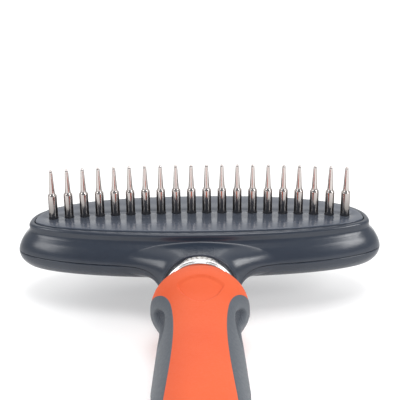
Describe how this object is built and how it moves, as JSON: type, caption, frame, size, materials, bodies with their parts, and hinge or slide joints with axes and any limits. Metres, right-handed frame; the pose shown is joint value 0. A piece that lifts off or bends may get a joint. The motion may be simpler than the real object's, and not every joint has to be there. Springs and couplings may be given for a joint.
{
  "type": "deshedding tool",
  "caption": "T-shaped deshedding rake with one bowed row of spinning stepped steel pins on an oval head and a soft-touch handle.",
  "frame": {"origin": "middle of the box, at the height of the flat underside of the handle", "axes": "+X along the pin row, +Y from the handle's end to the head, +Z the way the pins point"},
  "size_m": [0.1186, 0.1698, 0.0452],
  "materials": {
    "head_plastic": "satin-gloss dark blue-grey moulded plastic",
    "plate_plastic": "semi-gloss dark blue-grey moulded plastic",
    "pin_steel": "polished nickel-plated steel",
    "collar_chrome": "bright chrome plate",
    "cover_orange": "matte soft-touch orange",
    "grip_rubber": "matte grey soft rubber",
    "core_plastic": "plain dark moulded plastic",
    "screw_steel": "zinc-plated pan-head screws"
  },
  "bodies": {
    "tool": {"head_front_shell": "head_plastic", "head_rear_shell": "head_plastic", "pin_plate": "plate_plastic", "pin_retainer": "plate_plastic", "retainer_screws": "screw_steel", "head_screws": "screw_steel", "neck_screw": "screw_steel", "collar_ring": "collar_chrome", "handle_core": "core_plastic", "handle_front_cover": "cover_orange", "handle_rear_cover": "cover_orange", "left_grip": "grip_rubber", "right_grip": "grip_rubber", "handle_screws": "screw_steel", "tail_cap": "cover_orange"},
    "pin_01": {"pin_01": "pin_steel"},
    "pin_02": {"pin_02": "pin_steel"},
    "pin_03": {"pin_03": "pin_steel"},
    "pin_04": {"pin_04": "pin_steel"},
    "pin_05": {"pin_05": "pin_steel"},
    "pin_06": {"pin_06": "pin_steel"},
    "pin_07": {"pin_07": "pin_steel"},
    "pin_08": {"pin_08": "pin_steel"},
    "pin_09": {"pin_09": "pin_steel"},
    "pin_10": {"pin_10": "pin_steel"},
    "pin_11": {"pin_11": "pin_steel"},
    "pin_12": {"pin_12": "pin_steel"},
    "pin_13": {"pin_13": "pin_steel"},
    "pin_14": {"pin_14": "pin_steel"},
    "pin_15": {"pin_15": "pin_steel"},
    "pin_16": {"pin_16": "pin_steel"},
    "pin_17": {"pin_17": "pin_steel"},
    "pin_18": {"pin_18": "pin_steel"},
    "pin_19": {"pin_19": "pin_steel"},
    "pin_20": {"pin_20": "pin_steel"}
  },
  "joints": [
    {"name": "pin_01_spin", "type": "hinge", "parent": "tool", "child": "pin_01", "pos_m": [-0.0475, 0.062, 0.0282], "axis": [0, 0, 1], "continuous": true},
    {"name": "pin_02_spin", "type": "hinge", "parent": "tool", "child": "pin_02", "pos_m": [-0.0425, 0.06272, 0.0282], "axis": [0, 0, 1], "continuous": true},
    {"name": "pin_03_spin", "type": "hinge", "parent": "tool", "child": "pin_03", "pos_m": [-0.0375, 0.06336, 0.0282], "axis": [0, 0, 1], "continuous": true},
    {"name": "pin_04_spin", "type": "hinge", "parent": "tool", "child": "pin_04", "pos_m": [-0.0325, 0.06391, 0.0282], "axis": [0, 0, 1], "continuous": true},
    {"name": "pin_05_spin", "type": "hinge", "parent": "tool", "child": "pin_05", "pos_m": [-0.0275, 0.06439, 0.0282], "axis": [0, 0, 1], "continuous": true},
    {"name": "pin_06_spin", "type": "hinge", "parent": "tool", "child": "pin_06", "pos_m": [-0.0225, 0.06479, 0.0282], "axis": [0, 0, 1], "continuous": true},
    {"name": "pin_07_spin", "type": "hinge", "parent": "tool", "child": "pin_07", "pos_m": [-0.0175, 0.06511, 0.0282], "axis": [0, 0, 1], "continuous": true},
    {"name": "pin_08_spin", "type": "hinge", "parent": "tool", "child": "pin_08", "pos_m": [-0.0125, 0.06535, 0.0282], "axis": [0, 0, 1], "continuous": true},
    {"name": "pin_09_spin", "type": "hinge", "parent": "tool", "child": "pin_09", "pos_m": [-0.0075, 0.06551, 0.0282], "axis": [0, 0, 1], "continuous": true},
    {"name": "pin_10_spin", "type": "hinge", "parent": "tool", "child": "pin_10", "pos_m": [-0.0025, 0.06559, 0.0282], "axis": [0, 0, 1], "continuous": true},
    {"name": "pin_11_spin", "type": "hinge", "parent": "tool", "child": "pin_11", "pos_m": [0.0025, 0.06559, 0.0282], "axis": [0, 0, 1], "continuous": true},
    {"name": "pin_12_spin", "type": "hinge", "parent": "tool", "child": "pin_12", "pos_m": [0.0075, 0.06551, 0.0282], "axis": [0, 0, 1], "continuous": true},
    {"name": "pin_13_spin", "type": "hinge", "parent": "tool", "child": "pin_13", "pos_m": [0.0125, 0.06535, 0.0282], "axis": [0, 0, 1], "continuous": true},
    {"name": "pin_14_spin", "type": "hinge", "parent": "tool", "child": "pin_14", "pos_m": [0.0175, 0.06511, 0.0282], "axis": [0, 0, 1], "continuous": true},
    {"name": "pin_15_spin", "type": "hinge", "parent": "tool", "child": "pin_15", "pos_m": [0.0225, 0.06479, 0.0282], "axis": [0, 0, 1], "continuous": true},
    {"name": "pin_16_spin", "type": "hinge", "parent": "tool", "child": "pin_16", "pos_m": [0.0275, 0.06439, 0.0282], "axis": [0, 0, 1], "continuous": true},
    {"name": "pin_17_spin", "type": "hinge", "parent": "tool", "child": "pin_17", "pos_m": [0.0325, 0.06391, 0.0282], "axis": [0, 0, 1], "continuous": true},
    {"name": "pin_18_spin", "type": "hinge", "parent": "tool", "child": "pin_18", "pos_m": [0.0375, 0.06336, 0.0282], "axis": [0, 0, 1], "continuous": true},
    {"name": "pin_19_spin", "type": "hinge", "parent": "tool", "child": "pin_19", "pos_m": [0.0425, 0.06272, 0.0282], "axis": [0, 0, 1], "continuous": true},
    {"name": "pin_20_spin", "type": "hinge", "parent": "tool", "child": "pin_20", "pos_m": [0.0475, 0.062, 0.0282], "axis": [0, 0, 1], "continuous": true}
  ]
}
